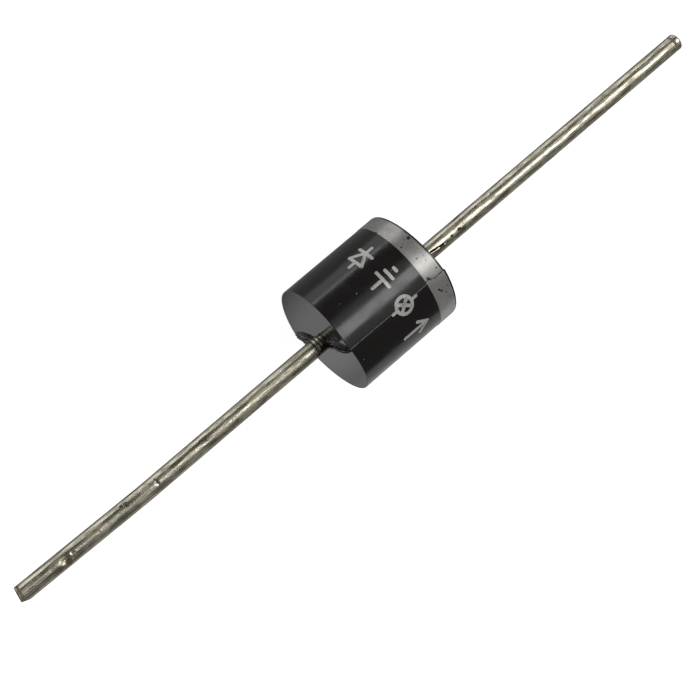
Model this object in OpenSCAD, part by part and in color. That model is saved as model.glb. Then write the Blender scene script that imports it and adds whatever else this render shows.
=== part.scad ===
// Axial rectifier diode in a large moulded case, with two tinned wire leads.
// Millimetres. The origin is the centre of the moulded body, +X runs along the
// wire to the cathode end, and the mould's parting plane is the XZ plane.

/* [Moulded body] */
// Diameter of the moulded body
body_d = 8.6; // [7.6:0.1:10]
// Length of the body between its end faces, measured at the parting line
body_len = 8.75; // [7.6:0.05:10]
// Draft of each end face, in degrees, which lets the body leave the mould
end_draft = 2.9; // [1:0.1:5]
// How far the two mould halves are out of step along the axis
half_shift = 0.09; // [0.02:0.01:0.2]
// Chamfer around the rim of each end face
rim_chamfer = 0.12; // [0.05:0.01:0.25]
// How far the flash stands proud along the parting line
flash_height = 0.03; // [0.01:0.01:0.06]
// Thickness of the flash
flash_thick = 0.08; // [0.04:0.01:0.15]

/* [Gate scars] */
// Width of each lens-shaped gate scar on the anode end face
scar_width = 0.75; // [0.4:0.05:1.2]
// How far the lens would run on past the rim, which cuts its outer end blunt
scar_overrun = 0.9; // [0.2:0.1:2]
// How far a gate scar stands proud of the end face
scar_height = 0.13; // [0.05:0.01:0.25]
// Distance from the outer end of a gate scar to the rim
scar_rim_gap = 0.05; // [0.02:0.01:0.4]

/* [Cathode band] */
// Width of the inked band, from the cathode end face
band_width = 1.65; // [1:0.05:2.4]
// Thickness of the ink
ink_thick = 0.02; // [0.01:0.005:0.04]

/* [Leads] */
// Diameter of the tinned wire
lead_d = 1.27; // [0.9:0.01:1.4]
// Length of wire outside the body, at each end
lead_len = 26.65; // [18:0.05:30]
// Radius around the rim of the cathode wire's tip
tip_round = 0.15; // [0.05:0.01:0.3]
// Length of the facet left by the cutter on the anode wire's tip
facet_len = 0.55; // [0.3:0.05:1]
// Depth of that facet into the wire
facet_depth = 0.2; // [0.1:0.01:0.3]
// Slant of the anode wire's cut end, in degrees
cut_slant = 10; // [0:1:20]

/* [Bend in the anode lead] */
// Angle of the slight bend, in degrees
bend_angle = 1.25; // [0.25:0.25:5]
// Length of straight wire from the bend to the tip
bend_to_tip = 10.5; // [6:0.1:14]
// Direction of the bend, turned about the axis from straight up, in degrees
bend_turn = -112.5; // [-180:2.5:180]

/* [Rolled rings behind each wire's head] */
// Distance from one ring to the next
ring_pitch = 0.28; // [0.2:0.02:0.5]
// Depth of the groove between two rings
ring_depth = 0.04; // [0.02:0.01:0.08]
// How far the rings reach out of the body
ring_reach = 0.9; // [0.2:0.1:1.5]

/* [Wire heads inside the body] */
// Diameter of the head that the chip is soldered to
head_d = 4.2; // [3.4:0.1:5]
// Thickness of the head at its rim
head_thick = 0.7; // [0.5:0.05:1]
// Length of the cone from the head down to the wire
neck_len = 0.6; // [0.3:0.05:1]

/* [Chip and its joints] */
// Side of the square silicon chip
die_side = 2.8; // [1.8:0.1:3]
// Thickness of the chip
die_thick = 0.28; // [0.2:0.01:0.4]
// Thickness of each soldered joint
solder_thick = 0.07; // [0.04:0.01:0.12]
// How far the solder stays back from the chip's edge
solder_inset = 0.1; // [0:0.05:0.3]
// Width, along the axis, of the silicone ring around the chip
coat_width = 1.1; // [0.9:0.05:1.3]
// How far the silicone ring stands out past the heads
coat_over = 0.4; // [0.2:0.05:0.5]

/* [Hidden] */
$fn = 96;

body_r = body_d / 2;
lead_r = lead_d / 2;
head_r = head_d / 2;
coat_r = coat_width / 2;
// Longer than any part of the body: the reach of every cutting block
reach = 2 * (body_len + body_d);
// Plane where each wire head meets its solder, measured from the chip's middle
head_x = die_thick / 2 + solder_thick;
// Outer radius of the silicone ring, which also covers the chip's corners
coat_outer_r = max(head_r, die_side / 2 * sqrt(2)) + coat_over;
// Along a wire from its head's face: the end of the rings, and the tip
ring_end = body_len / 2 - head_x + ring_reach;
wire_len = body_len / 2 - head_x + lead_len;
band_x = body_len / 2 - band_width;

// Turns a shape built upwards along Z so that it runs along +X
module along_axis() {
    rotate([0, 90, 0]) children();
}

// ---- Moulded body ------------------------------------------------------

// A block that ends in one drafted end face with its chamfered rim. It covers
// everything inwards of the cathode end of the mould half on the +Y side.
module end_block() {
    face_r = body_r - rim_chamfer;
    translate([body_len / 2, 0, 0])
        rotate([0, 0, end_draft])
            rotate([0, -90, 0])
                rotate_extrude()
                    polygon([[0, 0], [face_r, 0], [face_r + reach, reach], [0, reach]]);
}

// What one mould half leaves of a long round bar of the given radius
module mould_half(radius) {
    intersection() {
        along_axis() cylinder(r = radius, h = reach, center = true);
        translate([-reach / 2, 0, -reach / 2]) cube([reach, reach / 2, reach]);
        end_block();
        mirror([1, 0, 0]) end_block();
    }
}

// Both halves, each half a step away from where it should be along the axis
module both_halves() {
    translate([-half_shift / 2, 0, 0]) children();
    translate([half_shift / 2, 0, 0]) mirror([0, 1, 0]) children();
}

// The thin fin squeezed out between the mould halves, up to the inked band
module flash_line() {
    start_x = -(body_len - half_shift) / 2 + rim_chamfer;
    intersection() {
        along_axis() cylinder(r = body_r + flash_height, h = reach, center = true);
        translate([start_x, -flash_thick / 2, -reach / 2])
            cube([band_x - start_x, flash_thick, reach]);
    }
}

// A lens with pointed ends: where two discs overlap
module lens(length, width) {
    arc_r = (length * length + width * width) / (4 * width);
    intersection_for(side = [-1, 1])
        translate([0, side * (arc_r - width / 2)]) circle(r = arc_r);
}

// The rough scars that the gate leaves on the anode end, one each side of the
// wire, rooted below the end face and running out along the parting line
module gate_scars() {
    lens_start = lead_r / 2;
    lens_end = body_r + scar_overrun;
    scar_root = body_len / 4;
    scar_top = (body_len + half_shift) / 2 + scar_height;
    intersection() {
        along_axis() cylinder(r = body_r - scar_rim_gap, h = reach, center = true);
        for (side = [-1, 1])
            translate([-scar_top, 0, side * (lens_start + lens_end) / 2])
                along_axis()
                    linear_extrude(scar_top - scar_root) lens(lens_end - lens_start, scar_width);
    }
}

module body() {
    color("#242223")
        difference() {
            union() {
                both_halves() mould_half(body_r);
                flash_line();
                gate_scars();
            }
            lead_channel();
            mirror([1, 0, 0]) lead_channel();
            coating_form();
        }
}

// ---- Wires -------------------------------------------------------------

// Outline of a wire of the given length, to be spun about its axis: the head,
// its cone, the rolled rings that key the resin, then the plain round wire
module wire_outline(length) {
    neck_end = head_thick + neck_len;
    rings = round((ring_end - neck_end) / ring_pitch);
    pitch = (ring_end - neck_end) / rings;
    polygon([
        [0, 0], [head_r, 0], [head_r, head_thick], [lead_r, neck_end],
        for (ring = [0:rings - 1])
            each [
                [lead_r - ring_depth, neck_end + (ring + 0.5) * pitch],
                [lead_r, neck_end + (ring + 1) * pitch]
            ],
        [lead_r, length], [0, length]
    ]);
}

// The space that a headed wire fills in the body, on the cathode side
module lead_channel() {
    translate([head_x, 0, 0])
        along_axis()
            rotate_extrude() wire_outline(reach);
}

// A headed wire with a rounded tip, built upwards from its head's face
module straight_wire() {
    rotate_extrude() {
        wire_outline(wire_len - tip_round);
        square([lead_r - tip_round, wire_len]);
        translate([lead_r - tip_round, wire_len - tip_round]) circle(r = tip_round);
    }
}

// The last stretch of a wire, its end sheared at a slant with one facet. It
// starts a little early, so that the mitre at the bend can cut it.
module sheared_end(length) {
    across = lead_r + facet_depth;
    intersection() {
        translate([0, 0, -lead_d]) cylinder(r = lead_r, h = length + lead_d);
        rotate([90, 0, 0])
            linear_extrude(4 * lead_r, center = true)
                polygon([
                    [-across, -lead_d], [across, -lead_d],
                    [across, length - 2 * lead_r * tan(cut_slant)],
                    [facet_depth - lead_r, length],
                    [-across, length - 2 * facet_len]
                ]);
    }
}

// Everything past the bend: a block on the plane that halves its angle
module past_bend() {
    rotate([0, bend_angle / 2, 0])
        translate([-lead_d, -lead_d, 0]) cube([2 * lead_d, 2 * lead_d, 2 * bend_to_tip]);
}

// A headed wire, bent a little towards +X and sheared off at its tip
module bent_wire() {
    bend_start = wire_len - bend_to_tip;
    difference() {
        rotate_extrude() wire_outline(bend_start + lead_d);
        translate([0, 0, bend_start]) past_bend();
    }
    translate([0, 0, bend_start])
        intersection() {
            rotate([0, bend_angle, 0]) sheared_end(bend_to_tip);
            past_bend();
        }
}

module anode_lead() {
    color("#b5ad98")
        rotate([bend_turn, 0, 0])
            translate([-head_x, 0, 0])
                rotate([0, -90, 0]) bent_wire();
}

module cathode_lead() {
    color("#c9c2ae")
        translate([head_x, 0, 0])
            along_axis() straight_wire();
}

// ---- Chip, joints and coating --------------------------------------------

module silicon_die() {
    color("#565a66") cube([die_thick, die_side, die_side], center = true);
}

module solder_pad() {
    pad_side = die_side - 2 * solder_inset;
    translate([die_thick / 2, -pad_side / 2, -pad_side / 2])
        cube([solder_thick, pad_side, pad_side]);
}

module anode_solder() {
    color("#8f9194") mirror([1, 0, 0]) solder_pad();
}

module cathode_solder() {
    color("#8f9194") solder_pad();
}

// The silicone ring's outer form: a bead over the heads' rims, filled inside
module coating_form() {
    bead_r = coat_outer_r - coat_r;
    along_axis()
        rotate_extrude() {
            translate([0, -head_x]) square([bead_r, 2 * head_x]);
            intersection() {
                translate([bead_r, 0]) circle(r = coat_r);
                translate([0, -coat_r]) square([coat_outer_r, coat_width]);
            }
        }
}

module junction_coating() {
    color("#e6e2d8")
        difference() {
            coating_form();
            lead_channel();
            mirror([1, 0, 0]) lead_channel();
            silicon_die();
            anode_solder();
            cathode_solder();
        }
}

// ---- Cathode band --------------------------------------------------------

module cathode_band() {
    color("#8e918f")
        intersection() {
            both_halves() mould_half(body_r + ink_thick);
            translate([band_x, 0, 0])
                along_axis()
                    difference() {
                        cylinder(r = body_r + 2 * ink_thick, h = reach);
                        cylinder(r = body_r, h = 2 * reach, center = true);
                    }
        }
}

body();
anode_lead();
cathode_lead();
silicon_die();
anode_solder();
cathode_solder();
junction_coating();
cathode_band();
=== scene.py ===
# %% [markdown]
# # An axial rectifier diode, dressed for the camera
# A rectifier diode lets current run one way only. This one is a fat cylinder of black moulding
# compound with a tinned wire out of each end. A silver ring of ink marks the cathode, the end
# that current leaves by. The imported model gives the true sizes, and this lesson dresses it:
# each outer part is modelled again in finer detail, and every part gets its own finish.

import math

import bmesh
import bpy
from mathutils import Matrix, Vector, noise


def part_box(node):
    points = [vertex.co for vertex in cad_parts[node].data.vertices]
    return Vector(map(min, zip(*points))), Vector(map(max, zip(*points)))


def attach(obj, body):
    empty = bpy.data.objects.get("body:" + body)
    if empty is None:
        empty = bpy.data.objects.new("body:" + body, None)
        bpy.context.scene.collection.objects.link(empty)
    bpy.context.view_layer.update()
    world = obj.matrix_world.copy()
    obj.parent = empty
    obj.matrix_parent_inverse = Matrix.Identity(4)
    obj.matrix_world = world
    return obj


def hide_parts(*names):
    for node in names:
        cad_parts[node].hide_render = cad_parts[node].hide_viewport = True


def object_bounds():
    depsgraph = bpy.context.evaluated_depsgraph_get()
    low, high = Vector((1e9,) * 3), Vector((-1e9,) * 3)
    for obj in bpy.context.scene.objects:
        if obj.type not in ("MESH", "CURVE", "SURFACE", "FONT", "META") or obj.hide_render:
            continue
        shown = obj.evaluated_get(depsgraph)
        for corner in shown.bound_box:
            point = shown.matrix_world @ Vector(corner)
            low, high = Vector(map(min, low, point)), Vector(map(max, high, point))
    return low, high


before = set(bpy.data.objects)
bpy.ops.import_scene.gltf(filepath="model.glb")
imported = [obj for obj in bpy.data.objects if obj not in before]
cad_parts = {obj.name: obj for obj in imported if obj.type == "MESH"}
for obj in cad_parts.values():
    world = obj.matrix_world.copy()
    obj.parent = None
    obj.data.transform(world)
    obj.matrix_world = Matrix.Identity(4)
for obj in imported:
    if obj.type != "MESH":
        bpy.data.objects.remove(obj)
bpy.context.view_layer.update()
print("parts in the packed model:", ", ".join(sorted(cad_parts)))

# %% [markdown]
# ## Sizes
# The lesson works in millimetres, the unit on a diode's drawing, and turns to metres only when
# a mesh is finished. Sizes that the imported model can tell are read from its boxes, so the
# dressed part can't drift away from it. The rest are the drawing's own small details.

# %% Sizes in millimetres
MM = 0.001


def box_mm(node):
    """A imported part's box, in millimetres."""
    low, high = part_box(node)
    return [v / MM for v in low], [v / MM for v in high]


band_low, band_high = box_mm("cathode_band")
cathode_low, cathode_high = box_mm("cathode_lead")
coat_high = box_mm("junction_coating")[1]

INK_THICK = 0.02
BODY_R = band_high[1] - INK_THICK
BODY_LEN = 8.75
END_DRAFT = 2.9
HALF_SHIFT = 0.09
RIM_ROUND = 0.08
FLASH_PROUD = 0.03
BAND_START = band_low[0]
LEAD_R = 0.635
HEAD_R = 2.1
HEAD_THICK = 0.7
NECK_LEN = 0.6
HEAD_X = cathode_low[0]
RING_PITCH = 0.283
RING_DEPTH = 0.04
RING_COUNT = 13
CATHODE_TIP = cathode_high[0]
ANODE_TIP = CATHODE_TIP
BEND_X = ANODE_TIP - 10.5
BEND_ANGLE = 1.25
FACET_LEN = 0.55
FACET_DEPTH = 0.2
CUT_SLANT = 10
SNIP_ROUND = 0.11
# The side of the body that faces the reader, measured from +Z towards +Y
FACING = 22.5
# The anode wire's outer end leans away from this side
BEND_TURN = FACING + 90
print(f"body {BODY_LEN} long, radius {BODY_R:.3f}; tips at {-ANODE_TIP:.2f} and {CATHODE_TIP:.2f}")

# %% [markdown]
# ## Helpers for round work
# Almost everything here is round about the X axis, so a point on it is easiest to name as a
# clock would: how far along, how far round and how far out. A lathe makes such parts by
# turning a profile, and Blender's spin operator does the same.


# %% Helpers that place, turn, cut and finish
def around(x, turn, radius):
    """The point at x along the axis, turn degrees round from +Z towards +Y."""
    angle = math.radians(turn)
    return Vector((x, radius * math.sin(angle), radius * math.cos(angle)))


def bent(x, turn, radius):
    """The same point on the anode wire, which leans past its bend."""
    point = around(x, turn, radius)
    past = max(0.0, -BEND_X - x)
    return point - around(0, BEND_TURN, past * math.sin(math.radians(BEND_ANGLE)))


def lathe(profile, steps=128):
    """Turns a list of (x, radius) about the X axis."""
    bm = bmesh.new()
    verts = [bm.verts.new((x, 0, radius)) for x, radius in profile]
    edges = [bm.edges.new(pair) for pair in zip(verts, verts[1:])]
    bmesh.ops.spin(
        bm, geom=verts + edges, cent=(0, 0, 0), axis=(1, 0, 0),
        angle=math.tau, steps=steps, use_merge=True,
    )
    bmesh.ops.remove_doubles(bm, verts=bm.verts, dist=0.0005)
    bmesh.ops.recalc_face_normals(bm, faces=bm.faces)
    return bm


def slice_off(bm, point, normal):
    """Cuts away what lies beyond a plane and closes the cut with one face."""
    cut = bmesh.ops.bisect_plane(
        bm, geom=bm.verts[:] + bm.edges[:] + bm.faces[:], plane_co=point,
        plane_no=normal, clear_outer=True, dist=0.00001,
    )
    rim = [g for g in cut["geom_cut"] if isinstance(g, bmesh.types.BMEdge)]
    bmesh.ops.contextual_create(bm, geom=rim)


def round_off(bm, edges, radius):
    """Rounds some edges of a mesh."""
    bmesh.ops.bevel(
        bm, geom=edges, offset=radius, offset_type="OFFSET", segments=4, profile=0.5,
        affect="EDGES", material=-1, clamp_overlap=True,
    )


def into_piece(name, bm, sharp=30):
    """Turns a mesh drawn in millimetres into an object in metres."""
    bmesh.ops.scale(bm, vec=(MM, MM, MM), verts=bm.verts)
    mesh = bpy.data.meshes.new(name)
    bm.to_mesh(mesh)
    bm.free()
    mesh.shade_smooth()
    mesh.set_sharp_from_angle(angle=math.radians(sharp))
    piece = bpy.data.objects.new(name, mesh)
    bpy.context.scene.collection.objects.link(piece)
    level = piece.modifiers.new("broad faces lead", "WEIGHTED_NORMAL")
    level.keep_sharp = True
    print(f"{name}: {len(mesh.vertices)} points, {len(mesh.polygons)} faces")
    return piece


def joined(first, second, operation):
    """Unites two closed meshes, or cuts the second out of the first, still in millimetres."""
    pair = []
    for label, bm in (("first", first), ("second", second)):
        mesh = bpy.data.meshes.new(label)
        bm.to_mesh(mesh)
        bm.free()
        pair.append(bpy.data.objects.new(label, mesh))
        bpy.context.scene.collection.objects.link(pair[-1])
    modifier = pair[0].modifiers.new("join", "BOOLEAN")
    modifier.operation = operation
    modifier.solver = "MANIFOLD"
    modifier.object = pair[1]
    seen = bpy.context.evaluated_depsgraph_get()
    result = bmesh.new()
    result.from_object(pair[0], seen)
    for used in pair:
        bpy.data.objects.remove(used)
    print(f"  after {operation.lower()}: {result.calc_volume():.1f} mm3,",
          sum(1 for e in result.edges if not e.is_manifold), "open edges")
    return result


def as_part(piece, node, material):
    """Hangs a finished piece under the root, hides the imported part it replaces and gives it its
    material.
    """
    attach(piece, "root")
    if node:
        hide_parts(node)
    piece.data.materials.clear()
    piece.data.materials.append(material)


# %% [markdown]
# ## Helpers for finishes
# A finish is a small network of nodes. Coordinates come from the object itself, in metres, and
# are turned into millimetres first, so that every pattern below has a size a maker would
# recognise. The helpers only save typing: each adds one node and joins its inputs.


# %% Helpers that add nodes
class Nodes:
    """Adds nodes to a material or a node group and wires them as they come."""

    def __init__(self, tree):
        self.tree = tree

    def plug(self, socket, value):
        if isinstance(value, bpy.types.NodeSocket):
            self.tree.links.new(value, socket)
        elif value is not None:
            socket.default_value = value

    def add(self, kind, inputs=(), **settings):
        node = self.tree.nodes.new(kind)
        for key, value in settings.items():
            setattr(node, key, value)
        for key, value in dict(inputs).items():
            self.plug(node.inputs[key], value)
        return node

    def maths(self, operation, *values):
        node = self.add("ShaderNodeMath", operation=operation)
        for socket, value in zip(node.inputs, values):
            self.plug(socket, value)
        return node.outputs[0]

    def vector(self, operation, *values):
        node = self.add("ShaderNodeVectorMath", operation=operation)
        for socket, value in zip(node.inputs, values):
            self.plug(socket, value)
        plain = operation in ("LENGTH", "DISTANCE", "DOT_PRODUCT")
        return node.outputs["Value" if plain else "Vector"]

    def fade(self, value, low, high):
        """0 where value is at low, 1 where it is at high, eased in between."""
        node = self.add(
            "ShaderNodeMapRange", {"Value": value, "From Min": low, "From Max": high},
            interpolation_type="SMOOTHSTEP",
        )
        return node.outputs["Result"]

    def mix(self, factor, first, second):
        node = self.add("ShaderNodeMix", data_type="RGBA")
        self.plug(node.inputs["Factor"], factor)
        self.plug(node.inputs["A"], first)
        self.plug(node.inputs["B"], second)
        return node.outputs["Result"]

    def noise(self, vector, scale, detail=3.0, roughness=0.55):
        node = self.add(
            "ShaderNodeTexNoise",
            {"Vector": vector, "Scale": scale, "Detail": detail, "Roughness": roughness},
        )
        return node.outputs["Fac"]

    def millimetres(self):
        """Object coordinates in millimetres."""
        place = self.add("ShaderNodeTexCoord").outputs["Object"]
        return self.vector("MULTIPLY", place, (1000, 1000, 1000))

    def spot(self, place, centre, size, softness=0.5):
        """1 within size of a point, and 0 outside it."""
        away = self.vector("DISTANCE", place, tuple(centre))
        return self.fade(away, size, size * (1 - softness))

    def most(self, masks):
        """The strongest of several masks."""
        total = masks[0]
        for mask in masks[1:]:
            total = self.maths("MAXIMUM", total, mask)
        return total


def grey(level, warm=0.0):
    """A neutral colour, a little yellower the warmer it is."""
    return (level * (1 + warm), level, level * (1 - 2 * warm), 1)


def new_material(name):
    """An empty material with its Principled shader, and the helper that adds to it."""
    material = bpy.data.materials.new(name)
    material.use_nodes = True
    shader = material.node_tree.nodes["Principled BSDF"]
    return material, shader, Nodes(material.node_tree)


def new_group(name, inputs, outputs):
    """A node group with named number or vector inputs and named outputs."""
    tree = bpy.data.node_groups.new(name, "ShaderNodeTree")
    for label, kind, value in inputs:
        socket = tree.interface.new_socket(label, in_out="INPUT", socket_type="NodeSocket" + kind)
        if value is not None:
            socket.default_value = value
    for label, kind in outputs:
        tree.interface.new_socket(label, in_out="OUTPUT", socket_type="NodeSocket" + kind)
    nodes = Nodes(tree)
    start = nodes.add("NodeGroupInput")
    end = nodes.add("NodeGroupOutput")
    return tree, nodes, start, end


def use_group(nodes, tree, inputs):
    node = nodes.add("ShaderNodeGroup", node_tree=tree)
    for key, value in inputs.items():
        nodes.plug(node.inputs[key], value)
    return node


# %% [markdown]
# ## Shared effects
# Three effects turn up on more than one part, so each is a node group that is built once.
# Dust settles on everything that has lain in a drawer of parts. Grain is the faint unevenness
# of any moulded or dipped surface. Draw marks are the lengthwise lines that a wire gets when
# it is pulled through a die: noise that is stretched along X and fine across it.

# %% Dust, grain and draw marks
dust_group, nodes, start, end = new_group(
    "settled dust",
    [("Place", "Vector", None), ("Scale", "Float", 2.0), ("Size", "Float", 0.05)],
    [("Mask", "Float")],
)
flakes = nodes.add(
    "ShaderNodeTexVoronoi", {"Vector": start.outputs["Place"], "Scale": start.outputs["Scale"]},
    feature="F1",
)
chosen = nodes.fade(nodes.noise(start.outputs["Place"], 0.9, 1.0), 0.52, 0.6)
flake = nodes.maths("LESS_THAN", flakes.outputs["Distance"], start.outputs["Size"])
nodes.plug(end.inputs["Mask"], nodes.maths("MULTIPLY", flake, chosen))

grain_group, nodes, start, end = new_group(
    "fine grain",
    [("Place", "Vector", None), ("Scale", "Float", 4.0)],
    [("Value", "Float"), ("Height", "Float")],
)
coarse = nodes.noise(start.outputs["Place"], start.outputs["Scale"], 2.0)
finer = nodes.maths("MULTIPLY", start.outputs["Scale"], 6.0)
fine = nodes.noise(start.outputs["Place"], finer, 2.0)
nodes.plug(end.inputs["Value"], coarse)
nodes.plug(end.inputs["Height"], nodes.maths("MULTIPLY_ADD", fine, 0.25, coarse))

draw_group, nodes, start, end = new_group(
    "draw marks",
    [("Place", "Vector", None), ("Stretch", "Float", 0.045), ("Scale", "Float", 11.0)],
    [("Value", "Float"), ("Height", "Float")],
)
squeeze = nodes.add("ShaderNodeCombineXYZ", {"X": start.outputs["Stretch"], "Y": 1.0, "Z": 1.0})
along = nodes.vector("MULTIPLY", start.outputs["Place"], squeeze.outputs[0])
lines = nodes.noise(along, start.outputs["Scale"], 4.0, 0.62)
wide = nodes.noise(along, nodes.maths("MULTIPLY", start.outputs["Scale"], 0.35), 2.0)
nodes.plug(end.inputs["Value"], lines)
nodes.plug(end.inputs["Height"], nodes.maths("MULTIPLY_ADD", wide, 0.8, lines))
print("shared effects:", ", ".join(tree.name for tree in bpy.data.node_groups))

# %% [markdown]
# ## Moulding compound
# The body is epoxy filled with ground quartz, black from a little soot, and the polished
# mould leaves it glossy. Only its reflections show its shape, so the colour stays almost
# black and the work goes into the gloss: a faint grain, a few specks of dust, and a pale line
# where the two halves of the mould met. The end faces are glossier still. The torn gate scars
# on the anode face are duller, and beside one of them a pale pinkish patch is a painted
# reflection.

# %% Finish of the moulding compound
SOOT = (0.0066, 0.0056, 0.0052, 1)
BROWN_SOOT = (0.0105, 0.0090, 0.0082, 1)
# Pale pinkish colour of a painted reflection on the anode face
PAINTED_REFLECTION = (0.13, 0.115, 0.115, 1)
SEAM = (0.16, 0.15, 0.145, 1)
DUST = (0.32, 0.32, 0.33, 1)
compound, shader, nodes = new_material("moulding_compound")
place = nodes.millimetres()
axes = nodes.add("ShaderNodeSeparateXYZ", {"Vector": place})
grain = use_group(nodes, grain_group, {"Place": place, "Scale": 2.2})
dust = use_group(nodes, dust_group, {"Place": place, "Scale": 1.6, "Size": 0.035})
off_seam = nodes.maths("ABSOLUTE", axes.outputs["Y"])
wander = nodes.noise(place, 3.0, 3.0)
seam_edge = nodes.maths("MULTIPLY_ADD", wander, 0.05, 0.005)
seam = nodes.maths("LESS_THAN", off_seam, seam_edge)
on_side = nodes.maths("GREATER_THAN", nodes.maths("ABSOLUTE", axes.outputs["Z"]), BODY_R - 0.12)
seam = nodes.maths("MULTIPLY", seam, on_side)
SPECKS = [
    (around(1.35, 31, BODY_R), 0.05),
    (around(-1.55, 35, BODY_R), 0.06),
    (around(-3.6, 22, BODY_R), 0.05),
    (around(-3.9, -17, BODY_R), 0.05),
    (around(-2.9, 38, BODY_R), 0.04),
]
specks = nodes.most([nodes.spot(place, centre, size) for centre, size in SPECKS])
pale = nodes.maths("MAXIMUM", dust.outputs["Mask"], specks)
tint = nodes.mix(grain.outputs["Value"], SOOT, BROWN_SOOT)
# A painted reflection: two pale spots beside one gate scar, broken up by noise
reflection_spots = nodes.most([
    nodes.spot(place, (-4.4, 0.55, 2.35), 0.5, 0.7),
    nodes.spot(place, (-4.4, 0.70, 3.0), 0.55, 0.7),
])
reflection_breakup = nodes.fade(nodes.noise(place, 4.0, 3.0), 0.4, 0.6)
tint = nodes.mix(nodes.maths("MULTIPLY", reflection_spots, reflection_breakup), tint, PAINTED_REFLECTION)
tint = nodes.mix(nodes.maths("MULTIPLY", seam, 0.75), tint, SEAM)
tint = nodes.mix(nodes.maths("MULTIPLY", pale, 0.5), tint, DUST)
nodes.plug(shader.inputs["Base Color"], tint)
slope = math.tan(math.radians(END_DRAFT))
off_middle = nodes.maths("ABSOLUTE", axes.outputs["X"])
end_depth = nodes.maths("MULTIPLY_ADD", off_seam, slope, off_middle)
from_axis = nodes.vector("LENGTH", nodes.vector("MULTIPLY", place, (0, 1, 1)))
inside_rim = nodes.fade(from_axis, BODY_R - 0.04, BODY_R - 0.1)
end_face = nodes.maths("MULTIPLY", nodes.fade(end_depth, 4.28, 4.31), inside_rim)
scar = nodes.fade(nodes.maths("MULTIPLY", axes.outputs["X"], -1.0), 4.43, 4.47)
shine = nodes.maths("MULTIPLY_ADD", scar, -0.38, 0.5)
nodes.plug(shader.inputs["Specular IOR Level"], shine)
clouds = nodes.fade(nodes.noise(place, 0.75, 3.0, 0.6), 0.35, 0.7)
gloss = nodes.maths("MULTIPLY_ADD", clouds, 0.10, 0.15)
gloss = nodes.maths("MULTIPLY_ADD", end_face, -0.10, gloss)
nodes.plug(shader.inputs["Roughness"], nodes.maths("MULTIPLY_ADD", pale, 0.3, gloss))
bump = nodes.add(
    "ShaderNodeBump",
    {"Height": grain.outputs["Height"], "Strength": 0.10, "Distance": 0.00002},
)
nodes.plug(shader.inputs["Normal"], bump.outputs["Normal"])
shader.inputs["IOR"].default_value = 1.5
print("moulding compound:", len(compound.node_tree.nodes), "nodes")

# %% [markdown]
# ## Ink
# The cathode ring and the row of signs are the same silvery pad-printed ink. It has fine
# flakes in it, so it is part metal and part paint, and a thin print leaves pinholes and worn
# places where the black shows through.


# %% Finish of the ink
BARE = (0.012, 0.011, 0.010, 1)


def ink_finish(name, level, metal, gloss, pits, worn):
    """Silvery ink with pits of its own, a share of pinholes and a bare seam."""
    material, shader, nodes = new_material(name)
    place = nodes.millimetres()
    grain = use_group(nodes, grain_group, {"Place": place, "Scale": 1.1})
    sparkle = nodes.noise(place, 26.0, 2.0, 0.7)
    holes = use_group(nodes, dust_group, {"Place": place, "Scale": 3.4, "Size": 0.15})
    masks = [nodes.spot(place, centre, size * 1.35, 0.25) for centre, size in pits]
    axes = nodes.add("ShaderNodeSeparateXYZ", {"Vector": place})
    jog = nodes.fade(axes.outputs["X"], 3.32, 3.26)
    seam_y = nodes.maths("MULTIPLY", jog, 0.16)
    off_seam = nodes.maths("ABSOLUTE", nodes.maths("SUBTRACT", axes.outputs["Y"], seam_y))
    seam_width = nodes.maths("MULTIPLY_ADD", nodes.noise(place, 5.0), 0.07, -0.005)
    seam = nodes.maths("LESS_THAN", off_seam, seam_width)
    seam = nodes.maths("MULTIPLY", seam, nodes.maths("GREATER_THAN", axes.outputs["X"], 2.5))
    bare = nodes.most([nodes.maths("MULTIPLY", holes.outputs["Mask"], worn), seam] + masks)
    cloud = nodes.fade(grain.outputs["Value"], 0.3, 0.7)
    paint = nodes.mix(cloud, grey(level * 0.78, 0.02), grey(level * 1.15, 0.02))
    paint = nodes.mix(nodes.fade(sparkle, 0.35, 0.75), paint, grey(level * 1.35, 0.03))
    nodes.plug(shader.inputs["Base Color"], nodes.mix(bare, paint, BARE))
    flake_metal = nodes.maths("MULTIPLY", nodes.maths("SUBTRACT", 1.0, bare), metal)
    nodes.plug(shader.inputs["Metallic"], flake_metal)
    rough = nodes.maths("MULTIPLY_ADD", sparkle, 0.18, gloss)
    nodes.plug(shader.inputs["Roughness"], rough)
    height = nodes.maths("SUBTRACT", sparkle, nodes.maths("MULTIPLY", bare, 2.0))
    bump = nodes.add("ShaderNodeBump", {"Height": height, "Strength": 0.2, "Distance": 0.00001})
    nodes.plug(shader.inputs["Normal"], bump.outputs["Normal"])
    print(name, "has", len(pits), "pits of its own")
    return material


BAND_R = BODY_R + INK_THICK
BAND_PITS = [
    (around(2.75, 88, BAND_R), 0.07),
    (around(2.75, 72, BAND_R), 0.07),
    (around(3.0, 41, BAND_R), 0.06),
    (around(3.85, 43.5, BAND_R), 0.11),
    (around(4.15, 45, BAND_R), 0.13),
    (around(4.2, 49, BAND_R), 0.12),
    (around(4.22, 54, BAND_R), 0.09),
    (around(4.2, 41, BAND_R), 0.07),
    (around(3.25, 24, BAND_R), 0.05),
    (around(3.95, 6, BAND_R), 0.05),
    (around(3.0, 3.5, BAND_R), 0.09),
    (around(3.12, 1.5, BAND_R), 0.06),
    (around(3.28, -12.5, BAND_R), 0.08),
    (around(3.4, -15, BAND_R), 0.08),
    (around(3.7, -20, BAND_R), 0.05),
]
band_ink = ink_finish("band_ink", 0.30, 0.58, 0.24, BAND_PITS, 0.9)
mark_ink = ink_finish("marking_ink", 0.42, 0.4, 0.38, [], 0.0)
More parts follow.
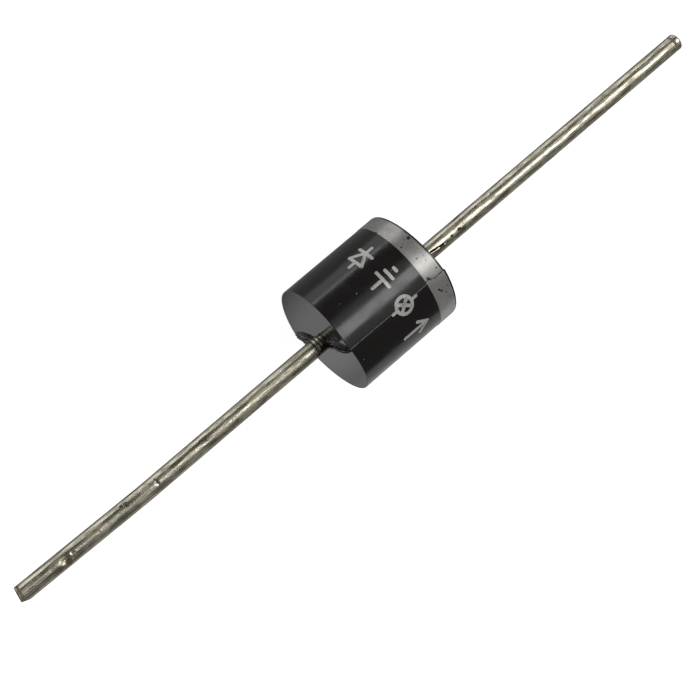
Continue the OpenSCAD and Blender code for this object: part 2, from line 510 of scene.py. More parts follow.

# %% [markdown]
# ## Tinned wire
# The leads are copper wire with a hot-dipped coat of tin, which dulls to a warm grey with a
# trace of yellow. Metal shows little colour of its own and mirrors the room, so the draw
# marks matter most: they break the reflection into lengthwise streaks. Knocks get dark spots,
# partly dirt and partly painted shade in their dents, the dark lines at the cut tips are
# painted shade, and a crack in the cathode wire's coat is black. At the anode end a film of
# resin has crept out over the first rings, and covers them in blackish brown.


# %% Finish of the tinned wire
TIN = (0.62, 0.595, 0.475, 1)
WARM_TIN = (0.69, 0.645, 0.545, 1)
DULL_TIN = (0.47, 0.44, 0.34, 1)
DRAWN = (0.24, 0.22, 0.16, 1)
DROSS = (0.13, 0.115, 0.085, 1)
# Dirt, and painted shade where it sits in dents and at the cut tips
DIRT_AND_PAINTED_SHADE = (0.05, 0.04, 0.025, 1)
CRACK = (0.02, 0.016, 0.012, 1)
BROWN_FILM = (0.20, 0.13, 0.07, 1)
BLACK_FILM = (0.016, 0.011, 0.007, 1)


def tin_finish(name, marks, cuts, film_reach=0.0, crack=None):
    """Tin with dark marks of dirt and painted shade, painted shade lines at its cuts, a resin film
    and a crack.

    A mark is a centre and a size. A cut is a point, a normal, how deep behind them the line
    lies and half its width. A crack is its first and last x, its turn and its twist per mm.
    """
    material, shader, nodes = new_material(name)
    place = nodes.millimetres()
    axes = nodes.add("ShaderNodeSeparateXYZ", {"Vector": place})
    draw = use_group(nodes, draw_group, {"Place": place})
    patch = nodes.noise(place, 1.1, 3.0)
    stretched = nodes.vector("MULTIPLY", place, (0.25, 1, 1))
    mottle = nodes.noise(stretched, 3.6, 3.0, 0.6)
    dross = nodes.fade(nodes.noise(stretched, 5.5, 3.0, 0.65), 0.60, 0.74)
    dulled = nodes.fade(nodes.maths("MULTIPLY_ADD", patch, 0.6, mottle), 0.70, 1.0)
    tin = nodes.mix(nodes.fade(patch, 0.35, 0.68), TIN, WARM_TIN)
    tin = nodes.mix(dulled, tin, DULL_TIN)
    tin = nodes.mix(nodes.fade(draw.outputs["Value"], 0.55, 0.36), tin, DRAWN)
    tin = nodes.mix(nodes.maths("MULTIPLY", dross, 0.75), tin, DROSS)
    # Dark spots: dirt, and painted shade where they sit in dents
    dark = nodes.most([nodes.spot(place, centre, size, 0.35) for centre, size in marks])
    # Each line is painted shade along a cut edge or in the groove behind a tip
    for point, normal, depth, half in cuts:
        from_point = nodes.vector("SUBTRACT", place, tuple(point))
        away = nodes.vector("DOT_PRODUCT", from_point, tuple(normal))
        off_line = nodes.maths("ABSOLUTE", nodes.maths("ADD", away, depth))
        line = nodes.maths("MULTIPLY", nodes.fade(off_line, half, half / 2), 0.8)
        dark = nodes.maths("MAXIMUM", dark, line)
    tin = nodes.mix(nodes.maths("MULTIPLY", dark, 0.92), tin, DIRT_AND_PAINTED_SHADE)
    if crack:
        first, last, turn, twist = crack
        swing = nodes.maths("MULTIPLY_ADD", axes.outputs["X"], twist, turn - twist * first)
        swing = nodes.maths("RADIANS", swing)
        swung_y = nodes.maths("MULTIPLY", axes.outputs["Y"], nodes.maths("COSINE", swing))
        swung_z = nodes.maths("MULTIPLY", axes.outputs["Z"], nodes.maths("SINE", swing))
        across = nodes.maths("SUBTRACT", swung_y, swung_z)
        width = nodes.maths("MULTIPLY", nodes.noise(place, 5.0, 2.0), 0.15)
        line = nodes.maths("LESS_THAN", nodes.maths("ABSOLUTE", across), width)
        upper = nodes.maths("GREATER_THAN", axes.outputs["Z"], 0.0)
        before = nodes.fade(axes.outputs["X"], last, last - 0.15)
        line = nodes.maths("MULTIPLY", nodes.maths("MULTIPLY", line, upper), before)
        dark = nodes.maths("MAXIMUM", dark, line)
        tin = nodes.mix(line, tin, CRACK)
    rough = nodes.maths("MULTIPLY_ADD", dulled, 0.22, 0.15)
    rough = nodes.maths("MULTIPLY_ADD", draw.outputs["Value"], 0.10, rough)
    metal = nodes.maths("MULTIPLY_ADD", dulled, -0.3, 0.95)
    metal = nodes.maths("MULTIPLY", metal, nodes.maths("MULTIPLY_ADD", dark, -0.95, 1.0))
    if film_reach:
        ragged = nodes.noise(place, 2.6, 4.0, 0.6)
        edge = nodes.maths("MULTIPLY_ADD", ragged, 0.8, film_reach - 0.4)
        low_side = nodes.fade(axes.outputs["Y"], 0.3, -0.55)
        edge = nodes.maths("MULTIPLY_ADD", low_side, 1.1, edge)
        out = nodes.maths("MULTIPLY_ADD", axes.outputs["X"], -1.0, -BODY_LEN / 2)
        past = nodes.maths("SUBTRACT", out, edge)
        brown = nodes.fade(past, 0.35, -0.05)
        black = nodes.fade(past, 0.04, -0.08)
        tin = nodes.mix(nodes.maths("MULTIPLY", brown, 0.55), tin, BROWN_FILM)
        tin = nodes.mix(black, tin, BLACK_FILM)
        metal = nodes.maths("MULTIPLY", metal, nodes.maths("SUBTRACT", 1.0, black))
        rough = nodes.maths("MULTIPLY_ADD", black, -0.12, rough)
    nodes.plug(shader.inputs["Base Color"], tin)
    nodes.plug(shader.inputs["Metallic"], metal)
    nodes.plug(shader.inputs["Roughness"], rough)
    shader.inputs["Specular Tint"].default_value = (0.12, 0.10, 0.07, 1)
    nodes.plug(shader.inputs["Specular IOR Level"], nodes.maths("MULTIPLY_ADD", dark, -0.45, 0.5))
    height = nodes.maths("MULTIPLY_ADD", mottle, 0.5, draw.outputs["Height"])
    height = nodes.maths("MULTIPLY_ADD", dross, -0.4, height)
    bump = nodes.add("ShaderNodeBump", {"Height": height, "Strength": 0.34, "Distance": 0.00004})
    nodes.plug(shader.inputs["Normal"], bump.outputs["Normal"])
    print(name, "has", len(marks), "dark marks")
    return material


# The pit and nick spots sit in the dents below: partly painted shade, partly dirt
ANODE_MARKS = [
    (bent(-27.08, 13, LEAD_R - 0.16), 0.31),
    (bent(-26.6, 19, LEAD_R), 0.11),
    (bent(-22.24, 57, LEAD_R), 0.17),
    (bent(-21.93, 43, LEAD_R), 0.17),
]
# The first two spots sit in dents and are partly painted shade; the other two are dirt
CATHODE_MARKS = [
    (around(8.35, 1, LEAD_R), 0.20),
    (around(7.6, 0, LEAD_R), 0.15),
    (around(7.15, -6, LEAD_R), 0.12),
    (around(9.3, -28, LEAD_R), 0.10),
]
CUT_TOWARD = around(0, BEND_TURN, 1)
CUT_OFFSET = CUT_TOWARD * (FACET_DEPTH - LEAD_R)
CUT_POINT = bent(-ANODE_TIP, 0, 0) + CUT_OFFSET
CUT_LEAN = math.radians(CUT_SLANT)
CUT_NORMAL = Vector((-math.cos(CUT_LEAN), 0, 0)) + CUT_TOWARD * math.sin(CUT_LEAN)
FACET_LEAN = math.atan2(FACET_LEN, FACET_DEPTH)
FACET_NORMAL = Vector((-math.cos(FACET_LEAN), 0, 0)) - CUT_TOWARD * math.sin(FACET_LEAN)
BLUNT_END = Vector((CATHODE_TIP, 0, 0))
ALONG = Vector((1, 0, 0))
# The anode's two lines are painted shade along the slanted cut and its facet
anode_tin = tin_finish(
    "anode_tin", ANODE_MARKS,
    [(CUT_POINT, CUT_NORMAL, 0.08, 0.13), (CUT_POINT, FACET_NORMAL, 0.08, 0.07)],
    film_reach=0.12,
)
# The cathode's lines are painted shade in the groove behind the tip and along its lip
cathode_tin = tin_finish(
    "cathode_tin", CATHODE_MARKS,
    [(BLUNT_END, ALONG, 0.52, 0.12), (BLUNT_END, ALONG, 0.02, 0.06)],
    crack=(5.6, 6.9, 11.5, -14),
)

# %% [markdown]
# ## Finishes inside the body
# The chip, its solder and the silicone round it never show in use, but the part can be
# taken apart in a viewer, so each has its own finish too: ground silicon is a bluish dark
# grey, solder is a dull silver, and the silicone that seals the junction is milky white.


# %% Finish of the hidden parts
def inner_finish(name, first, second, metal, rough, scale):
    """A grained finish between two colours."""
    material, shader, nodes = new_material(name)
    place = nodes.millimetres()
    grain = use_group(nodes, grain_group, {"Place": place, "Scale": scale})
    nodes.plug(shader.inputs["Base Color"], nodes.mix(grain.outputs["Value"], first, second))
    nodes.plug(
        shader.inputs["Roughness"],
        nodes.maths("MULTIPLY_ADD", grain.outputs["Value"], 0.15, rough),
    )
    bump = nodes.add(
        "ShaderNodeBump", {"Height": grain.outputs["Height"], "Strength": 0.2, "Distance": 0.00002}
    )
    nodes.plug(shader.inputs["Normal"], bump.outputs["Normal"])
    shader.inputs["Metallic"].default_value = metal
    return material


silicon = inner_finish("silicon", (0.07, 0.08, 0.11, 1), (0.12, 0.13, 0.16, 1), 0.6, 0.25, 6.0)
solder = inner_finish("solder", (0.32, 0.33, 0.34, 1), (0.45, 0.45, 0.44, 1), 1.0, 0.35, 4.0)
silicone = inner_finish("silicone", (0.72, 0.70, 0.65, 1), (0.82, 0.80, 0.76, 1), 0.0, 0.35, 1.5)
INNER = {
    "silicon_die": silicon, "anode_solder": solder,
    "cathode_solder": solder, "junction_coating": silicone,
}
for node_name, material in INNER.items():
    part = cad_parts[node_name]
    part.data.materials.clear()
    part.data.materials.append(material)
print("hidden parts finished:", ", ".join(INNER))

# %% [markdown]
# ## Moulded body
# The two halves of the mould each leave half a cylinder, with end faces that lean back by the
# draft so that the part drops out, and the halves are a little out of step. So one half is
# made and rounded at its rims, the other is its mirror image moved along, and a union makes
# them one body. A union is used because the step between the halves is then really there.


# %% Mould halves
BODY_SIDES = 288


def mould_half(side):
    """One half of the body, on the +Y side for 1 or the -Y side for -1."""
    bm = bmesh.new()
    bmesh.ops.create_cone(
        bm, cap_ends=True, segments=BODY_SIDES, radius1=BODY_R, radius2=BODY_R,
        depth=3 * BODY_LEN,
    )
    half_step = Matrix.Rotation(math.tau / (2 * BODY_SIDES), 3, "X")
    quarter = Matrix.Rotation(math.pi / 2, 3, "Y")
    bmesh.ops.rotate(bm, verts=bm.verts, cent=(0, 0, 0), matrix=half_step @ quarter)
    slice_off(bm, (0, 0, 0), (0, -1, 0))
    lean = math.radians(END_DRAFT)
    for end in (-1, 1):
        slice_off(bm, (end * BODY_LEN / 2, 0, 0), (end * math.cos(lean), math.sin(lean), 0))
    rims = [
        e for e in bm.edges
        if all(abs(math.hypot(v.co.y, v.co.z) - BODY_R) < 0.002 for v in e.verts)
        and len({round(f.normal.x, 1) for f in e.link_faces}) == 2
    ]
    round_off(bm, rims, RIM_ROUND)
    if side < 0:
        bmesh.ops.scale(bm, vec=(1, -1, 1), verts=bm.verts)
    bmesh.ops.translate(bm, vec=(-side * HALF_SHIFT / 2, 0, 0), verts=bm.verts)
    bmesh.ops.remove_doubles(bm, verts=bm.verts, dist=0.001)
    bmesh.ops.recalc_face_normals(bm, faces=bm.faces)
    return bm


moulded = joined(mould_half(1), mould_half(-1), "UNION")

# %% [markdown]
# ## Room for the inner parts
# The compound flows round the wire heads and the silicone, so the body is hollow exactly
# where they are. All of them are round about one axis, so a single turned shape, wire, head,
# bead, head and wire, is cut out of the body in one go.


# %% Wire profile and the hollow
def wire_profile():
    """Half outline of a lead as far as its rings, and where they end."""
    points = [(HEAD_X, 0.0), (HEAD_X, HEAD_R), (HEAD_X + HEAD_THICK, HEAD_R)]
    start_x = HEAD_X + HEAD_THICK + NECK_LEN
    for step in range(RING_COUNT * 8):
        swing = 0.5 - 0.5 * math.cos(math.tau * step / 8)
        points.append((start_x + RING_PITCH * step / 8, LEAD_R - RING_DEPTH * swing))
    return points, start_x + RING_COUNT * RING_PITCH


head_points, rings_end = wire_profile()
print(f"the rings end {rings_end - BODY_LEN / 2:.2f} mm outside the body")


def hollow_profile():
    """Half outline of everything inside the body, from one wire to the other."""
    reach = BODY_LEN / 2 + 1.5
    right = [p for p in head_points[2:] if p[0] < BODY_LEN / 2 + 0.3]
    right += [(reach, LEAD_R), (reach, 0.0)]
    left = [(-x, radius) for x, radius in reversed(right)]
    bead_x = coat_high[0]
    bead_r = coat_high[1] - bead_x
    first = math.asin((HEAD_R - bead_r) / bead_x)
    bulge = []
    for step in range(17):
        angle = math.pi - first - (math.pi - 2 * first) * step / 16
        bulge.append((bead_x * math.cos(angle), bead_r + bead_x * math.sin(angle)))
    return left + bulge + right


moulded = joined(moulded, lathe(hollow_profile(), 96), "DIFFERENCE")

# %% [markdown]
# ## Flash along the parting line
# Where the halves met, a hair of resin squeezed out. It is a fin no thicker than paper that
# wanders and breaks, so a thin box is cut into many short lengths and each is moved a little.


# %% Flash
FIN_THICK = 0.045
FIN_TALL = 0.24


def flash_fin(side):
    """The fin on the +Z side for 1 or the -Z side for -1."""
    start_x = -(BODY_LEN - HALF_SHIFT) / 2 + 0.12
    length = BAND_START - start_x
    bm = bmesh.new()
    bmesh.ops.create_cube(bm, size=1.0)
    bmesh.ops.scale(bm, vec=(length, FIN_THICK, FIN_TALL), verts=bm.verts)
    bmesh.ops.translate(
        bm, vec=(start_x + length / 2, 0, side * (BODY_R - 0.1)), verts=bm.verts
    )
    long_edges = [e for e in bm.edges if abs((e.verts[0].co - e.verts[1].co).x) > 1]
    bmesh.ops.subdivide_edges(bm, edges=long_edges, cuts=110, use_grid_fill=True)
    for v in bm.verts:
        if side * v.co.z > BODY_R:
            ripple = noise.noise(Vector((v.co.x * 2.3, side * 5.0, 0.0)))
            v.co.z += side * min(0.009, 0.02 * ripple - 0.006)
            v.co.y += 0.012 * noise.noise(Vector((v.co.x * 1.7, 9.0, side)))
    bmesh.ops.recalc_face_normals(bm, faces=bm.faces)
    return bm


for side in (1, -1):
    moulded = joined(moulded, flash_fin(side), "UNION")

# %% [markdown]
# ## Gate scars
# Molten compound entered the mould beside the wire, and broke away there when the part was
# snapped off its runner. What is left on the anode face are two torn, lens-shaped lumps,
# one each side of the wire. A grid is the easiest start for a torn surface: its points are
# lifted by a height that falls to nothing at the outline, with lengthwise ridges on top.


# %% Gate scars
SCAR_WIDTH = 1.0
SCAR_PROUD = 0.18
SCAR_END = BODY_R - 0.24
SCAR_ROOT = -BODY_LEN / 4 - 1.0


def gate_scar(side):
    """The scar's torn top, closed down to a root inside the body."""
    bm = bmesh.new()
    grid = bmesh.ops.create_grid(bm, x_segments=110, y_segments=34, size=0.5)
    inner = LEAD_R * 0.55
    length = SCAR_END - inner
    face_x = -(BODY_LEN + HALF_SHIFT) / 2
    for v in grid["verts"]:
        along = v.co.x + 0.5
        across = 2 * v.co.y
        half = 0.5 * SCAR_WIDTH * math.sin(math.pi * (0.06 + 0.80 * along)) ** 0.8
        ragged = 1 + 0.10 * noise.noise(Vector((along * 9, side * 3.0, 0)))
        ridges = noise.noise(Vector((along * 3.2, across * 4.5 + 3 * side, side * 7.0)))
        ends = min(1.0, (1 - along) * 14 + 0.15)
        dome = math.sqrt(max(0.0, 1 - across * across))
        groove = math.exp(-((across - 0.12) / 0.16) ** 2) * (0.55 if side > 0 else 0.3)
        second = math.exp(-((across + 0.45) / 0.12) ** 2) * 0.3
        lift = ends * dome * (0.95 + 0.6 * ridges - groove - second)
        v.co = Vector((
            face_x - SCAR_PROUD * max(0.06, min(1.0, lift)),
            half * across * ragged,
            side * (inner + length * along),
        ))
    rim = [e for e in bm.edges if e.is_boundary]
    wall = bmesh.ops.extrude_edge_only(bm, edges=rim)
    root = [g for g in wall["geom"] if isinstance(g, bmesh.types.BMVert)]
    for v in root:
        v.co.x = SCAR_ROOT
    bottom = [e for e in bm.edges if e.is_boundary]
    bmesh.ops.contextual_create(bm, geom=bottom)
    bmesh.ops.recalc_face_normals(bm, faces=bm.faces)
    return bm


for side in (1, -1):
    moulded = joined(moulded, gate_scar(side), "UNION")
body_shell = into_piece("moulded_body", moulded)
as_part(body_shell, "body", compound)

# %% [markdown]
# ## Cathode ring
# The ring of ink wraps the last stretch of the body and follows both mould halves, step and
# all. It is printed, so its inner edge isn't a perfect circle: the points along it are nudged.


# %% Cathode ring
BAND_STEPS = 144
BAND_INSET = 0.15
INK_SUNK = 0.004
INK_SLACK = 0.0005


def band_half(side):
    """Half of the ink ring, as a closed shell over one mould half."""
    lean = math.tan(math.radians(END_DRAFT))
    shift = -side * HALF_SHIFT / 2
    bm = bmesh.new()
    bmesh.ops.create_grid(bm, x_segments=16, y_segments=BAND_STEPS, size=0.5)
    for v in bm.verts:
        turn = side * 180 * (v.co.y + 0.5)
        along = v.co.x + 0.5
        drafted = lean * abs(BODY_R * math.sin(math.radians(turn)))
        far_edge = BODY_LEN / 2 - BAND_INSET - drafted + shift
        wobble = 0.02 * noise.noise(Vector((turn * 0.11, 0, 3))) if 0 < turn * side < 180 else 0
        near_edge = BAND_START + abs(wobble)
        v.co = around(near_edge + (far_edge - near_edge) * along, turn, BODY_R - INK_SUNK)
    bmesh.ops.recalc_face_normals(bm, faces=bm.faces)
    outward = sum(f.normal.dot(Vector((0, f.calc_center_median().y, f.calc_center_median().z)))
                  for f in bm.faces)
    if outward < 0:
        bmesh.ops.reverse_faces(bm, faces=bm.faces)
    raised = bmesh.ops.extrude_face_region(bm, geom=bm.faces[:])
    for v in raised["geom"]:
        if isinstance(v, bmesh.types.BMVert):
            out = Vector((0, v.co.y, v.co.z)).normalized()
            v.co += out * (INK_THICK + INK_SUNK - INK_SLACK)
    bmesh.ops.recalc_face_normals(bm, faces=bm.faces)
    return bm


ring = into_piece("cathode_ring", joined(band_half(1), band_half(-1), "UNION"))
as_part(ring, "cathode_band", band_ink)

# %% [markdown]
# ## Row of printed signs
# Such a body carries a row of print. Here it is four plain signs from circuit drawings: a
# diode, an earth, a lamp and an arrow, none of them a maker's. The strokes are one width
# with round ends, as a pad print gives. Each is a chain of short flat capsules, the convex
# hull of two small circles, wrapped round the body.

# %% Row of signs
STROKE = 0.25
SIGN_LOW = -0.62
SIGN_HIGH = 1.72
SIGN_LONG = 2.1
SIGN_WIDE = 1.52
CAPSULE_LONG = 0.16


def ring_points(centre, radius, steps):
    """A closed ring of points."""
    turns = [360 * s / steps for s in range(steps + 1)]
    return [
        (centre[0] + radius * math.cos(math.radians(t)),
         centre[1] + radius * math.sin(math.radians(t)))
        for t in turns
    ]


# Each sign's turn on the body, and its strokes on a unit square: along X, then round
SIGNS = {
    60: [
        [(0.0, 0.5), (0.27, 0.5)],
        [(0.27, 0.0), (0.27, 1.0), (0.73, 0.5), (0.27, 0.0)],
        [(0.73, 0.0), (0.73, 1.0)],
        [(0.73, 0.5), (1.0, 0.5)],
    ],
    29.3: [
        [(0.0, 0.5), (0.46, 0.5)],
        [(0.46, 0.0), (0.46, 1.0)],
        [(0.73, 0.2), (0.73, 0.8)],
        [(1.0, 0.4), (1.0, 0.6)],
    ],
    -1.3: [
        ring_points((0.5, 0.5), 0.3, 28),
        [(0.29, 0.22), (0.71, 0.78)],
        [(0.29, 0.78), (0.71, 0.22)],
        [(0.0, 0.5), (0.2, 0.5)],
        [(0.8, 0.5), (1.0, 0.5)],
    ],
    -32: [
        [(0.0, 0.5), (1.0, 0.5)],
        [(0.62, 0.08), (1.0, 0.5), (0.62, 0.92)],
    ],
}
# A sign is longer than it is wide, so the lamp's ring is stretched to be round
SIGNS[-1.3][0] = [(x, 0.5 + (y - 0.5) * 1.6) for x, y in SIGNS[-1.3][0]]


def flat_capsule(bm, first, second, height):
    """The flat outline round two points, raised to a given height off the unrolled body."""
    disc = []
    for centre in (first, second):
        made = bmesh.ops.create_circle(bm, cap_ends=False, segments=20, radius=STROKE / 2)
        place = Matrix.Translation((centre[0], centre[1], height))
        bmesh.ops.transform(bm, matrix=place, verts=made["verts"])
        disc += made["verts"]
    hull = bmesh.ops.convex_hull(bm, input=disc)
    spare = [g for g in hull["geom_interior"] if isinstance(g, bmesh.types.BMVert)]
    bmesh.ops.delete(bm, geom=spare, context="VERTS")


def printed_signs():
    """The four signs as one print."""
    bm = bmesh.new()
    count = 0
    low = SIGN_LOW + STROKE / 2
    tall = SIGN_HIGH - SIGN_LOW - STROKE
    across = SIGN_WIDE - STROKE
    for turn, strokes in SIGNS.items():
        centre = math.radians(turn) * BODY_R
        for stroke in strokes:
            points = []
            for (x0, y0), (x1, y1) in zip(stroke, stroke[1:]):
                reach = math.hypot((x1 - x0) * SIGN_LONG, (y1 - y0) * SIGN_WIDE)
                cuts = max(1, math.ceil(reach / CAPSULE_LONG))
                points += [
                    (x0 + (x1 - x0) * c / cuts, y0 + (y1 - y0) * c / cuts) for c in range(cuts)
                ]
            points.append(stroke[-1])
            placed = [(low + tall * x, centre - across * (y - 0.5)) for x, y in points]
            for first, second in zip(placed, placed[1:]):
                flat_capsule(bm, first, second, 0.008 + 0.0004 * (count % 9))
                count += 1
    faces = bm.faces[:]
    wall = bmesh.ops.extrude_face_region(bm, geom=faces)
    for v in wall["geom"]:
        if isinstance(v, bmesh.types.BMVert):
            v.co.z = -0.01
    for v in bm.verts:
        x, arc, lift = v.co
        edge = noise.noise(Vector((x * 7, arc * 7, 2.0)))
        x += 0.012 * edge
        v.co = around(x, math.degrees(arc / BODY_R), BODY_R + lift)
    bmesh.ops.recalc_face_normals(bm, faces=bm.faces)
    print("capsules in the print:", count)
    return into_piece("printed_signs", bm)


signs = printed_signs()
as_part(signs, None, mark_ink)

# %% [markdown]
# ## Leads
# Each lead is turned from one profile: the nail head that holds it in the resin, the cone,
# the rolled rings that key it, then plain wire. Both carry the knocks of handling, so the
# plain wire is cut into short rings of faces and dents are pressed into it with a soft falloff.


# %% Lead helpers
def plain_steps(first, last, step=0.06):
    """Places along plain wire, close enough for dents."""
    count = math.ceil((last - first) / step)
    return [first + (last - first) * i / count for i in range(1, count + 1)]


def dent(bm, x, turn, along, across, depth):
    """Presses a soft hollow of a given length, width and depth into the wire."""
    centre = around(x, turn, LEAD_R)
    for v in bm.verts:
        near = v.co - centre
        if abs(near.x) > 3 * along or near.length > 3 * max(along, across) + 0.01:
            continue
        gap = math.hypot(near.y, near.z)
        press = depth * math.exp(-(near.x / along) ** 2 - (gap / across) ** 2)
        out = Vector((0, v.co.y, v.co.z)).normalized()
        v.co -= out * press


def uneven(bm, first, last, size):
    """A slow unevenness of the tin coat, only ever inwards."""
    for v in bm.verts:
        if first < abs(v.co.x) < last:
            swell = noise.noise(Vector((v.co.x * 0.8, v.co.y * 2.2, v.co.z * 2.2)))
            out = Vector((0, v.co.y, v.co.z)).normalized()
            v.co -= out * size * (0.5 + 0.5 * swell)


# %% [markdown]
# ## Cathode lead
# This lead is straight. Its tip was cut by a rolling blade and lightly crushed, which leaves
# a rounded lip and a shallow groove just behind it. Near the body a crack runs slantwise
# through the tin coat.

# %% Cathode lead
LIP_ROUND = 0.15
tip_x = CATHODE_TIP
profile = list(head_points)
profile += [(x, LEAD_R) for x in plain_steps(rings_end - 0.001, tip_x - 0.7)]
profile += [(tip_x - 0.60, LEAD_R - 0.004), (tip_x - 0.54, LEAD_R - 0.035)]
profile += [(tip_x - 0.49, LEAD_R - 0.037), (tip_x - 0.43, LEAD_R - 0.004)]
for degrees in range(0, 91, 15):
    angle = math.radians(degrees)
    lip_x = tip_x - LIP_ROUND + LIP_ROUND * math.sin(angle)
    profile.append((lip_x, LEAD_R - LIP_ROUND + LIP_ROUND * math.cos(angle)))
profile += [(tip_x, 0.3), (tip_x - 0.02, 0.15), (tip_x - 0.02, 0.0)]
bm = lathe(profile)
uneven(bm, rings_end, tip_x - 0.7, 0.012)
CRACK_STEPS = 10
for step in range(CRACK_STEPS + 1):
    slide = step / CRACK_STEPS
    dent(bm, 5.6 + 1.3 * slide, 11.5 - 18 * slide, 0.09, 0.05, 0.04)
dent(bm, 8.35, 1, 0.10, 0.12, 0.06)
dent(bm, 7.6, 0, 0.08, 0.06, 0.03)
dent(bm, 16.6, -40, 0.35, 0.2, 0.03)
cathode_wire = into_piece("cathode_wire", bm, 40)
as_part(cathode_wire, "cathode_lead", cathode_tin)

# %% [markdown]
# ## Anode lead
# The other lead was snipped by hand. Its end is slanted with one flat facet, which two plane
# cuts give, and its last ten millimetres or so are bent a touch, so their points are turned
# about the bend. It has the deeper marks: a pit near the tip and a nick from a tool.

# %% Anode lead
profile = list(head_points)
profile += [(x, LEAD_R) for x in plain_steps(rings_end - 0.001, ANODE_TIP + 0.4)]
profile += [(ANODE_TIP + 0.4, 0.0)]
bm = lathe(profile)
uneven(bm, rings_end, ANODE_TIP + 1, 0.012)
bmesh.ops.scale(bm, vec=(-1, 1, 1), verts=bm.verts)
bmesh.ops.recalc_face_normals(bm, faces=bm.faces)

straight_cut = Vector((-ANODE_TIP, 0, 0)) + CUT_OFFSET
slice_off(bm, straight_cut, CUT_NORMAL)
slice_off(bm, straight_cut, FACET_NORMAL)
snipped = [
    e for e in bm.edges
    if len(e.link_faces) == 2 and e.calc_face_angle(0) > 0.6 and e.verts[0].co.x < 2 - ANODE_TIP
]
round_off(bm, snipped, SNIP_ROUND)

# x, turn, length, width and depth: the first three are the pit, the next two the nick
ANODE_DENTS = [
    (-27.08, 13, 0.15, 0.15, 0.20),
    (-27.36, 9, 0.20, 0.22, 0.09),
    (-26.6, 19, 0.09, 0.07, 0.05),
    (-22.24, 57, 0.10, 0.14, 0.07),
    (-21.93, 43, 0.10, 0.14, 0.08),
    (-19.4, 28, 0.09, 0.18, 0.05),
    (-15.2, 33, 0.3, 0.2, 0.02),
]
for knock in ANODE_DENTS:
    dent(bm, *knock)

# The bend is spread over one millimetre
pivot = Vector((-BEND_X, 0, 0))
hinge = CUT_TOWARD.cross(Vector((-1, 0, 0)))
for v in bm.verts:
    past = -BEND_X - v.co.x
    if past > -0.5:
        share = min(1.0, past + 0.5)
        turn = Matrix.Rotation(math.radians(BEND_ANGLE) * share, 4, hinge)
        v.co = pivot + turn.inverted() @ (v.co - pivot)
anode_wire = into_piece("anode_wire", bm, 40)
as_part(anode_wire, "anode_lead", anode_tin)
low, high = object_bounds()
print("dressed part spans", [round((b - a) / MM, 2) for a, b in zip(low, high)])

# %% [markdown]
# ## Camera
# The camera looks down on the diode from beyond the anode wire's end. Its place is given by
# plain numbers: how far away it is, how far it leans towards the anode, how far round the
# body it stands, and how much it is rolled so that the wires cross the picture aslant.

# %% Camera
DISTANCE = 135.53
TILT = 16.03
ROLL = 40.61
AIM_RIGHT = 1.297
AIM_UP = 3.270
LENS = 100.99

tilt = math.radians(TILT)
roll = math.radians(ROLL)
facing = around(0, FACING, 1)
back = Vector((-math.sin(tilt), 0, 0)) + facing * math.cos(tilt)
lengthwise = Vector((math.cos(tilt), 0, 0)) + facing * math.sin(tilt)
crosswise = back.cross(lengthwise)
right = lengthwise * math.cos(roll) - crosswise * math.sin(roll)
up = lengthwise * math.sin(roll) + crosswise * math.cos(roll)
spot = back * DISTANCE - right * AIM_RIGHT - up * AIM_UP

camera_data = bpy.data.cameras.new("camera")
camera_data.lens = LENS
camera_data.sensor_width = 36
camera_data.clip_start = 0.001
camera_data.clip_end = 10
camera = bpy.data.objects.new("camera", camera_data)
turned = Matrix((right, up, back)).transposed().to_4x4()
camera.matrix_world = Matrix.Translation(spot * MM) @ turned
bpy.context.scene.collection.objects.link(camera)
bpy.context.scene.camera = camera
print("camera stands at", [round(v, 2) for v in spot], "mm")

# %% [markdown]
# ## Floor
# The diode lies on white paper, a wide flat disc. It glows only for the camera and for
# mirror-like rays, so the paper reads as white and the metal mirrors it, while it lights the
# part no more than real paper would. The paper under the diode is in shade, so the mirrored
# glow is weak there, apart from one brighter place in front of the anode end.

# %% Floor
FLOOR_RADIUS = 900
PAPER_GLOW = 0.92
bm = bmesh.new()
bmesh.ops.create_circle(bm, cap_ends=True, segments=96, radius=FLOOR_RADIUS)
bmesh.ops.translate(bm, vec=(0, 0, -BODY_R - FLASH_PROUD - 0.01), verts=bm.verts)
floor = into_piece("floor", bm)
paper, shader, nodes = new_material("white_paper")
place = nodes.millimetres()
fibres = nodes.noise(place, 0.6, 5.0, 0.6)
nodes.plug(
    shader.inputs["Base Color"],
    nodes.mix(fibres, (0.26, 0.26, 0.26, 1), (0.29, 0.29, 0.287, 1)),
)
shader.inputs["Roughness"].default_value = 0.9
shader.inputs["Specular IOR Level"].default_value = 0.1
rays = nodes.add("ShaderNodeLightPath")
axes = nodes.add("ShaderNodeSeparateXYZ", {"Vector": place})
# The mirrored glow is painted: shade near the wires and under the body, more light on the +Y side,
# and a bright place in front of the anode end
off_wire = nodes.fade(nodes.maths("ABSOLUTE", axes.outputs["Y"]), 2.0, 10.0)
from_body = nodes.vector("SUBTRACT", place, (2, 7, 0))
from_body = nodes.vector("MULTIPLY", from_body, (1 / 9, 1 / 13, 0))
off_body = nodes.fade(nodes.vector("LENGTH", from_body), 0.55, 1.15)
open_paper = nodes.maths("MINIMUM", off_wire, off_body)
before_end = nodes.spot(place, (-6.5, -1.5, -BODY_R), 6.0, 0.7)
far_side = nodes.maths("MULTIPLY_ADD", nodes.fade(axes.outputs["Y"], -2.0, 6.0), 0.6, 0.4)
open_paper = nodes.maths("MULTIPLY", open_paper, far_side)
lit_strip = nodes.maths("MAXIMUM", open_paper, nodes.maths("MULTIPLY", before_end, 0.5))
lit_strip = nodes.maths("MULTIPLY_ADD", lit_strip, 0.82, 0.05)
mirrored = (rays.outputs["Is Glossy Ray"], rays.outputs["Is Transmission Ray"])
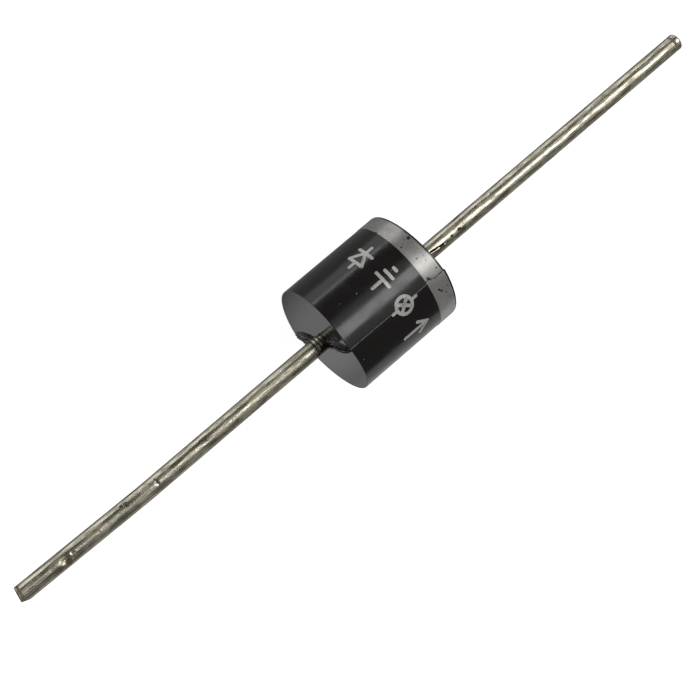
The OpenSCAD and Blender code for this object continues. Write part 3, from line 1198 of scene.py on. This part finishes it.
glow = nodes.maths("MULTIPLY", nodes.maths("MAXIMUM", *mirrored), lit_strip)
glow = nodes.maths("MULTIPLY_ADD", rays.outputs["Is Camera Ray"], PAPER_GLOW, glow)
shader.inputs["Emission Color"].default_value = (1, 1, 1, 1)
nodes.plug(shader.inputs["Emission Strength"], glow)
floor.data.materials.append(paper)

# %% [markdown]
# ## Light
# Black gloss is lit by what it mirrors. The key softbox stands high over the cathode wire and
# draws the broad streak along the body and the bright line on the far wire. A wide weak one
# just behind it softens the streak's edges. A third stands low at the side and draws the
# narrow streak. The room itself stays dim for mirror-like rays, so the black stays black.


# %% Softboxes and room
def softbox(name, turn, lean, distance, across, along, brightness):
    """A lamp at turn degrees round the body and lean degrees towards the cathode, in mm."""
    tip = math.radians(lean)
    away = around(0, turn, math.cos(tip)) + Vector((math.sin(tip), 0, 0))
    data = bpy.data.lights.new(name, "AREA")
    data.shape = "RECTANGLE"
    data.size = across * MM
    data.size_y = along * MM
    data.energy = brightness * math.pi * data.size * data.size_y
    lamp = bpy.data.objects.new(name, data)
    axis_along = (Vector((1, 0, 0)) - away * away.x).normalized()
    axis_across = axis_along.cross(away)
    facing_part = Matrix((axis_across, axis_along, away)).transposed().to_4x4()
    lamp.matrix_world = Matrix.Translation(away * distance * MM) @ facing_part
    bpy.context.scene.collection.objects.link(lamp)
    print(name, "energy", round(data.energy, 3), "W")


# Name, turn, lean, distance, size across and along, brightness
SOFTBOXES = [
    ("key_softbox", FACING - 10.8, 27.4, 500, 186, 300, 4.0),
    ("key_spill", FACING - 13, 28, 520, 590, 350, 0.5),
    ("side_softbox", FACING + 67.5, 18, 500, 56, 420, 3.4),
]
for settings in SOFTBOXES:
    softbox(*settings)

world = bpy.data.worlds.new("room")
bpy.context.scene.world = world
world.use_nodes = True
nodes = Nodes(world.node_tree)
room = world.node_tree.nodes["Background"]
rays = nodes.add("ShaderNodeLightPath")
level = nodes.maths("MULTIPLY_ADD", rays.outputs["Is Glossy Ray"], -0.4, 0.5)
level = nodes.maths("MULTIPLY_ADD", rays.outputs["Is Camera Ray"], 0.5, level)
nodes.plug(room.inputs["Strength"], level)
room.inputs["Color"].default_value = (1, 1, 1, 1)

# %% [markdown]
# ## Finish
# The picture uses the plain Standard view, so colours come out as they were written.

# %% View
bpy.context.scene.view_settings.view_transform = "Standard"
